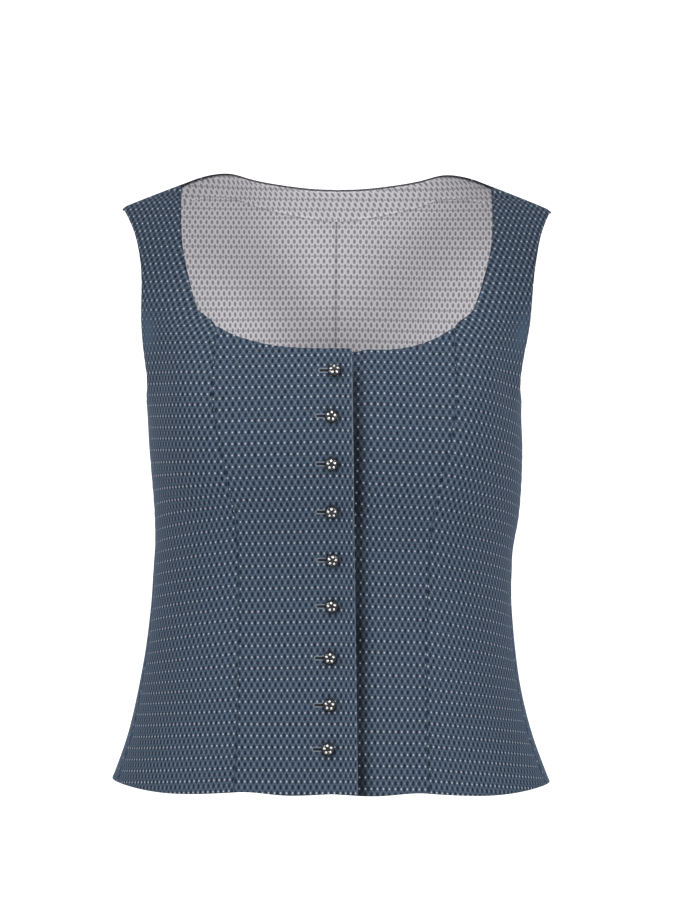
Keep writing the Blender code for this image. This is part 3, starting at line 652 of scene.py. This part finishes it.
# Centre fronts
centreFront = {
    "step": 2.6,              # mm between points of the mesh
    "fall": 0.031,            # mm that the rows fall per mm out
    "neckStep": 2.7,          # mm that the neckline of the under one lies lower
    "rightLie": {"shift": 0.55, "drop": -0.22, "crowdAtLap": 0.22},    # repeats, from the middle
    "leftLie": {"shift": 0.37, "drop": -0.64},
    # strength of the painted shadow below and right of each button
    "buttonShadowStrength": 0.85,
    "buttonDip": 0.55,
    # strength of the painted shade in the valley beside the lap edge
    "valleyShadeStrength": 0.95,
}
buttonPlaces = (
    (-0.3, -165.0), (-2.6, -203.5), (-2.2, -244.3), (-1.8, -285.0), (-0.9, -326.3),
    (-1.3, -366.0), (-2.4, -410.0), (-2.6, -450.0), (-3.6, -487.5),
)


def centreGrid(outsOfRow, step=0.0):
    t = shares(390, centreFront["step"])
    seamLevel = along(princessPlaces(), t)[:, 1:]
    share = (seamLevel - seamLevel[0]) / (seamLevel[-1] - seamLevel[0])
    outs = outsOfRow(section["seam"](seamLevel), lapEdge(seamLevel))
    lower = step * bell((outs - 62) / 34) * ease((102 - outs) / 14)
    top = levelAt(np.abs(outs), tableLine(frontNeckline, 1)(np.abs(outs)) - lower)
    low = hemLevel(outs / section["seam"](seamLevel[0]))
    level = low + (top - low) * share
    turn = outs / section["seam"](level)
    return np.stack([turn, level], axis=-1)


def upperOuts(seam, edge):
    s = shares(105, centreFront["step"])
    return -seam + (edge + seam) * s


def underOuts(seam, edge):
    s = shares(110, centreFront["step"], lowEdge=False)
    return lap["underEdge"] + (seam - lap["underEdge"]) * s


def underSink(points):
    beyond = points[..., 0] - lapEdge(points[..., 2]) - 1.0
    dip = lap["valleyDip"] * bell((beyond - 2.0) / 6.0)
    return lap["sunk"] * (1 - ease(beyond / lap["valleyWidth"])) + dip


def valleyPaintedShade(points):
    # painted shade in the valley beside the lap edge, the darkest part of the front
    beyond = points[..., 0] - lapEdge(points[..., 2])
    uneven = 0.82 + 0.12 * np.sin(points[..., 2] / 23.0) + 0.06 * np.sin(points[..., 2] / 9.0 + 1.3)
    start = ease((-150 - points[..., 2]) / 30)
    return 1 - centreFront["valleyShadeStrength"] * start * uneven * bell((beyond - 1.5) / 8.0)


def buttonPaintedShadow(points):
    # painted shadow of each button, a little below and to its right
    dark = np.zeros(points.shape[:2])
    for x, z in buttonPlaces:
        away = bell((points[..., 0] - x - 1.6) / 6.8) * bell((points[..., 2] - z + 1.2) / 6.8)
        dark += centreFront["buttonShadowStrength"] * away
    return 1 - np.clip(dark, 0, 0.8)


def buttonPull(points):
    # the cloth dips at each button and swells a little between
    sink = np.zeros(points.shape[:2])
    for x, z in buttonPlaces:
        sink += centreFront["buttonDip"] * bell((points[..., 0] - x) / 11) * bell((points[..., 2] - z) / 8)
    return sink - 0.25 * bell((points[..., 0] - 4) / 16)


upperGrid = centreGrid(upperOuts)
upperGrid[:, 0, 0] = -1.0
underGrid = centreGrid(underOuts, centreFront["neckStep"])
underGrid[:, -1, 0] = 1.0
grain = {"from": "middle", "fall": centreFront["fall"], "lean": 0.0, "strapLean": 0.0}
rightFront = shell(
    "right_centre_front", upperGrid, {**grain, **centreFront["rightLie"]}, clothSides,
    {"left": "seam", "right": "free", "top": "free", "bottom": "hem"},
    buttonPull, buttonPaintedShadow, paintedHighlightAlong="right",
)
leftFront = shell(
    "left_centre_front", underGrid, {**grain, **centreFront["leftLie"]}, clothSides,
    {"right": "seam", "top": "free", "bottom": "hem"}, underSink, valleyPaintedShade,
)
print("centre fronts made")

# Side fronts with their straps
sideFront = {
    "step": 2.8,
    "grain": {"from": "seam", "lean": 0.08, "strapLean": 0.20, "shift": 0.3, "drop": 0.4},
    "leftLie": {"fall": 0.163, "fallFrom": -90, "fallOver": 120, "hemFall": 0.10},
    "rightLie": {"fall": 0.123, "fallFrom": -225, "fallOver": 90, "hemFall": 0.07},
}
strapPlaces = 11    # steps across the strap, of which its facing takes 5


def sideFrontGrid(s, t):
    princess = princessPlaces()
    neckLine = edgePlaces(frontNeckSide)
    neckLine[-1] = (neckLine[-1][0], 0.0)
    left = princess + spaced(neckLine, 12, 1.5)[1:]
    armhole = [(float(sideSeam(bustLevel)), bustLevel)] + edgePlaces(frontArmhole)
    armhole[-1] = (armhole[-1][0], 0.0)
    right = hemToBust(sideSeam) + spaced(armhole, 16, 1.5)[1:]
    low, high = hemPlaces(left[0], right[0], strapPlaces), straight(left[-1], right[-1], strapPlaces)
    return patch(low, high, left, right, s, t)


sideGrid = sideFrontGrid(shares(85, sideFront["step"]), shares(600, sideFront["step"], highEdge=False))
sideEdges = {"left": "seam", "right": "seam", "top": "ridge", "bottom": "hem"}
leftGrain = {**sideFront["grain"], **sideFront["leftLie"]}
rightGrain = {**sideFront["grain"], **sideFront["rightLie"]}
otherGrid = mirrored(sideGrid)
leftSideFront = shell("left_side_front", sideGrid, leftGrain, clothSides, sideEdges, reachesRidge=True)
rightSideFront = shell("right_side_front", otherGrid, rightGrain, clothSides, sideEdges, reachesRidge=True)
print("side fronts made")

# Backs
backs = {"step": 3.0, "fall": 0.02, "leftShift": 0.6, "rightShift": 0.2, "drop": 0.2}


def backArmholeRuns():
    start = (float(sideSeam(bustLevel)), bustLevel)
    line = [start] + edgePlaces(backArmhole, True)
    line[-1] = (line[-1][0], 0.0)
    full = spaced(line, 40)
    return spaced(full[:24], 8), spaced(full[23:], 12, 1.5)


armholeLow, armholeHigh = backArmholeRuns()
seamStart = float(backSeam(hem[0][1]))
backSeamPlaces = [(seamStart, float(hemLevel(seamStart)))]
backSeamPlaces += [(turn, level) for level, _, turn in seams if level > backSeamPlaces[0][1]]
backSeamPlaces = spaced(backSeamPlaces + [armholeLow[-1]], 18)
sideLine = hemToBust(sideSeam)
sideHem = hemPlaces(sideLine[0], backSeamPlaces[0], 8)
sideS, sideT = shares(105, backs["step"]), shares(400, backs["step"])
sideBackGrid = patch(sideHem, armholeLow, sideLine, backSeamPlaces, sideS, sideT)
neckPlaces = spaced(edgePlaces(backNeckline[::-1], True), 6)
neckPlaces[0] = (neckPlaces[0][0], 0.0)
backEdge = backSeamPlaces + armholeHigh[1:]
backTop = straight(backEdge[-1], neckPlaces[0], 4) + neckPlaces[1:]
backMiddle = spaced([(4.0, float(hemLevel(4.0))), neckPlaces[-1]], len(backEdge) - 1, 1.25)
backHem = hemPlaces(backEdge[0], backMiddle[0], 10)
backS, backT = shares(150, backs["step"]), shares(560, backs["step"])
centreBackGrid = patch(backHem, backTop, backEdge, backMiddle, backS, backT)
grain = {"from": "back", "fall": backs["fall"], "lean": 0.0, "strapLean": 0.0, "drop": backs["drop"]}
leftGrain = {**grain, "shift": backs["leftShift"]}
rightGrain = {**grain, "shift": backs["rightShift"]}
sideBackEdges = {"left": "seam", "right": "seam", "top": "free", "bottom": "hem"}
leftSideBack = shell("left_side_back", sideBackGrid, leftGrain, clothSides, sideBackEdges)
rightSideBack = shell("right_side_back", mirrored(sideBackGrid), rightGrain, clothSides, sideBackEdges)
backEdges = {"left": "seam", "right": "seam", "top": "turned", "bottom": "hem"}
otherGrid = mirrored(centreBackGrid)
leftBack = shell("left_centre_back", centreBackGrid, grain, clothSides, backEdges, reachesRidge=True)
rightBack = shell("right_centre_back", otherGrid, grain, clothSides, backEdges, reachesRidge=True)
print("backs made")

# Facings
facing = {"thickness": 0.9, "below": 1.8}    # mm
bandT = np.linspace(0.9, 0.9965, 12)    # the band ends a little below the turned neck edge
halfBand = patch(backHem, backTop, backEdge, backMiddle, np.linspace(0.2, 1, 60), bandT)
otherHalf = halfBand[:, ::-1][:, 1:].copy()
otherHalf[..., 0] = 2 * centreBack - otherHalf[..., 0]
bandGrid = np.concatenate([halfBand, otherHalf], axis=1)
facingGrain = {"from": "back", "fall": 0.0, "lean": 0.0, "strapLean": 0.0, "shift": 0.45, "drop": 0.3}
strapS, strapT = np.linspace(0.008, 5 / strapPlaces - 0.005, 28), np.linspace(1 - 7 / 34, 0.9985, 70)
strapGrid = sideFrontGrid(strapS, strapT)
strapGrain = {**facingGrain, "from": "middle"}


def facingShell(name, grid, grain, topEdge, reachesRidge):
    edges = {"bottom": "free", "left": "free", "right": "free", "top": topEdge}
    return shell(name, grid, grain, [reverseCloth], edges, thickness=facing["thickness"],
                 reachesRidge=reachesRidge, lower=facing["below"])


backFacing = facingShell("back_neck_facing_cloth", bandGrid, facingGrain, "free", False)
leftStrapFacing = facingShell("left_strap_facing_cloth", strapGrid, strapGrain, "ridge", True)
rightStrapFacing = facingShell("right_strap_facing_cloth", mirrored(strapGrid), strapGrain, "ridge", True)
print("facings made")

# Buttons
button = {
    "radius": 5.7,         # mm
    "height": 3.024,
    "rim": 0.45,
    "petals": 5,
    "petalHeight": 0.8,
    "petalOut": 0.57,      # shares of the radius
    "petalLong": 0.25,
    "petalWide": 0.22,
    "rings": 34,
    "spokes": 90,
}


def placeOnFront(x, z):
    level = z if z < bustLevel else float(levelAt(abs(x), z))
    seam = float(section["seam"](level))
    turns = np.array([[x - 1, x + 1], [x - 1, x + 1]]) / seam
    levels = np.array([[level - 1, level - 1], [level + 1, level + 1]])
    corner = bodyPoint(turns, levels)
    out = normals(corner)[0, 0]
    return Vector(bodyPoint(x / seam, level)), Vector(out)


def buttonMesh():
    spokes, rings = button["spokes"], button["rings"]
    r = np.linspace(0, 1, rings)[:, None]
    angle = np.linspace(0, 2 * math.pi, spokes, endpoint=False)[None, :]
    dome = button["height"] * np.sqrt(np.clip(1 - r * r * 0.94, 0, 1))
    height = dome + button["rim"] * bell((r - 0.9) / 0.07) + 0 * angle
    polished = np.zeros_like(height)
    for petal in range(button["petals"]):
        turn = math.pi / 2 + petal * 2 * math.pi / button["petals"]
        dx = r * np.cos(angle - turn) - button["petalOut"]
        dy = r * np.sin(angle - turn)
        away = np.sqrt((dx / button["petalLong"]) ** 2 + (dy / button["petalWide"]) ** 2)
        height = height + button["petalHeight"] * np.sqrt(np.clip(1 - away * away, 0, 1))
        polished = np.maximum(polished, away < 0.86)
    out = button["radius"] * r
    top = np.stack([out * np.cos(angle), out * np.sin(angle), height], axis=-1)
    bottom = top[-1] * (0.95, 0.95, 0.0) + (0, 0, 0.1)
    verts = np.concatenate([top.reshape(-1, 3), bottom]) * 0.001
    faces, slots = [], []
    for ring in range(rings):
        inner, outer = ring * spokes, (ring + 1) * spokes
        for spoke in range(spokes):
            after = (spoke + 1) % spokes
            faces.append((inner + spoke, outer + spoke, outer + after, inner + after))
            slots.append(int(ring < rings - 1 and polished[ring, spoke] and polished[ring + 1, after]))
    faces.append(tuple(range((rings + 1) * spokes - 1, rings * spokes - 1, -1)))
    slots.append(0)
    mesh = bpy.data.meshes.new("button")
    mesh.from_pydata(verts.tolist(), [], faces)
    mesh.materials.append(gunmetal)
    mesh.materials.append(polish)
    mesh.polygons.foreach_set("material_index", slots)
    mesh.shade_smooth()
    mesh.validate()
    return mesh


buttonShape = buttonMesh()
buttonPieces = []
for number, (x, z) in enumerate(buttonPlaces, start=1):
    point, out = placeOnFront(x, z)
    piece = bpy.data.objects.new("dome_%d" % number, buttonShape.copy())
    turned = out.to_track_quat("Z", "Y").to_matrix().to_4x4()
    twist = Matrix.Rotation(0.13 * math.sin(2.3 * number), 4, "Z")
    piece.data.transform(Matrix.Translation(point * 0.001) @ turned @ twist)
    bpy.context.scene.collection.objects.link(piece)
    buttonPieces.append(piece)
print("buttons made")

# Buttonholes
buttonhole = {
    "length": 15.5,        # mm
    "pastShank": 1.6,
    "half": 2.1,           # half the width over the stitches
    "slit": 1.05,          # half the width of the slit
    "height": 0.55,
    "stitches": 46,
    "across": 5,           # points across one stitch
}


def buttonholeOutline():
    # the place and direction of each rib, round a slot with half-round ends
    straightHalf = buttonhole["length"] / 2 - buttonhole["half"]
    count = buttonhole["stitches"] * 4
    outline = []
    for step in range(count):
        share = step / count * 2
        side = 1 if share < 1 else -1
        run = (share % 1.0) * (2 * straightHalf + math.pi)
        if run < 2 * straightHalf:
            outline.append((side * (straightHalf - run), 0.0, side))
        else:
            angle = (run - 2 * straightHalf) + (math.pi / 2 if side > 0 else -math.pi / 2)
            outline.append((-side * straightHalf, math.cos(angle), math.sin(angle)))
    return outline


def buttonholeFaces(count):
    across = buttonhole["across"]
    faces = []
    for step in range(count):
        here, after = step * across, (step + 1) % count * across
        for place in range(across - 1):
            faces.append((here + place, here + place + 1, after + place + 1, after + place))
    base = count * across
    faces.append(tuple(range(base + count - 1, base - 1, -1)))
    return faces


def buttonholePiece(number, x, z):
    _, out = placeOnFront(x, z)
    middle = x + buttonhole["pastShank"] - buttonhole["length"] / 2
    last = buttonhole["across"] - 1
    outline = buttonholeOutline()
    verts = []
    for step, (centre, dx, dz) in enumerate(outline):
        rib = 0.75 + 0.25 * math.cos(step * math.pi / 2)
        for place in range(last + 1):
            away = buttonhole["slit"] + (buttonhole["half"] - buttonhole["slit"]) * place / last
            lift = buttonhole["height"] * rib * math.sin(math.pi * (0.12 + 0.76 * place / last))
            verts.append((middle + centre + dx * away, dz * away, lift))
    verts += [(vert[0], vert[1], 0.12) for vert in verts[::last + 1]]
    placed = []
    for local in verts:
        ground, _ = placeOnFront(local[0], z + local[1])
        sunk = float(buttonPull(np.array([[[ground.x, ground.y, ground.z]]]))[0, 0])
        placed.append((ground + out * (local[2] - sunk + 0.05)) * 0.001)
    faces = buttonholeFaces(len(outline))
    mesh = bpy.data.meshes.new("buttonhole")
    mesh.from_pydata([tuple(p) for p in placed], [], faces)
    mesh.materials.append(buttonholeThread)
    mesh.materials.append(slitDark)
    mesh.polygons[len(faces) - 1].material_index = 1
    mesh.shade_smooth()
    piece = bpy.data.objects.new("buttonhole_%d" % number, mesh)
    bpy.context.scene.collection.objects.link(piece)
    return piece


holePieces = [buttonholePiece(number, x, z) for number, (x, z) in enumerate(buttonPlaces, start=1)]
print("buttonholes made")

# What stands for which solid
panels = (
    (rightFront, "front_centre_right", (0.13, 0.40), 0.042),
    (leftFront, "front_centre_left", (0.13, 0.40), 0.042),
    (leftSideFront, "front_side_left", (0.15, 0.62), 0.058),
    (rightSideFront, "front_side_right", (0.15, 0.62), 0.058),
    (leftSideBack, "back_side_left", (0.18, 0.45), 0.051),
    (rightSideBack, "back_side_right", (0.18, 0.45), 0.051),
    (leftBack, "back_centre_left", (0.215, 0.58), 0.072),
    (rightBack, "back_centre_right", (0.215, 0.58), 0.072),
)
for piece, node, flat, area in panels:
    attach(piece, "root")
    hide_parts(node)
facings = (
    (backFacing, "back_neck_facing", (0.40, 0.035), 0.0090),
    (leftStrapFacing, "strap_facing_left", (0.03, 0.085), 0.0018),
    (rightStrapFacing, "strap_facing_right", (0.03, 0.085), 0.0018),
)
for piece, node, flat, area in facings:
    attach(piece, "root")
    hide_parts(node)
for number, piece in enumerate(buttonPieces, start=1):
    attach(piece, "root")
    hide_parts("button_%d" % number)
for piece in holePieces:
    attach(piece, "root")

# Room, light and camera
room = {"floor": -1.25, "key": 30.0, "fill": 23.0, "top": 10.0, "world": 0.56, "backdrop": 0.7}
view = {"place": (0.0093, -3.5, -0.2407), "roll": 0.007, "lens": 154.75, "height": 36.0}
bpy.ops.mesh.primitive_plane_add(size=6, location=(0, 0, room["floor"]))
floor = bpy.context.active_object
floor.name = "floor"
floor.data.materials.append(newMaterial("pale floor", (0.85, 0.85, 0.85), 0.9)[0])
world = bpy.data.worlds.new("pale room")
bpy.context.scene.world = world
world.use_nodes = True
world.node_tree.nodes["Background"].inputs[0].default_value = (1.0, 1.0, 1.0, 1.0)
world.node_tree.nodes["Background"].inputs[1].default_value = room["world"]


def softLight(name, place, aim, power, size):
    data = bpy.data.lights.new(name, "AREA")
    data.energy = power
    data.size = size
    lamp = bpy.data.objects.new(name, data)
    lamp.location = place
    lamp.rotation_euler = (Vector(aim) - Vector(place)).to_track_quat("-Z", "Y").to_euler()
    bpy.context.scene.collection.objects.link(lamp)
    return lamp


softLight("key", (-1.9, -1.9, 1.0), (0, 0, -0.25), room["key"], 0.7)
softLight("fill", (1.5, -2.0, 0.3), (0, 0, -0.3), room["fill"], 0.9)
softLight("top", (0.1, -0.6, 2.0), (0, 0, -0.3), room["top"], 1.2)

bpy.ops.mesh.primitive_plane_add(size=5, location=(0, 6, 0), rotation=(math.pi / 2, 0, 0))
backdrop = bpy.context.active_object
backdrop.name = "backdrop"
backdropMaterial, tree, shader = newMaterial("white backdrop", (1.0, 1.0, 1.0), 0.9)
shader.inputs["Emission Color"].default_value = (1.0, 1.0, 1.0, 1.0)
shader.inputs["Emission Strength"].default_value = room["backdrop"]
backdrop.data.materials.append(backdropMaterial)
bpy.context.scene.view_settings.view_transform = "Standard"

camera = bpy.data.objects.new("camera", bpy.data.cameras.new("camera"))
camera.data.sensor_fit = "VERTICAL"
camera.data.sensor_height = view["height"]
camera.data.lens = view["lens"]
camera.data.dof.use_dof = False
upright = Matrix.Rotation(math.pi / 2, 4, "X")
camera.matrix_world = Matrix.Translation(view["place"]) @ upright @ Matrix.Rotation(view["roll"], 4, "Z")
bpy.context.scene.collection.objects.link(camera)
bpy.context.scene.camera = camera
print("room made")
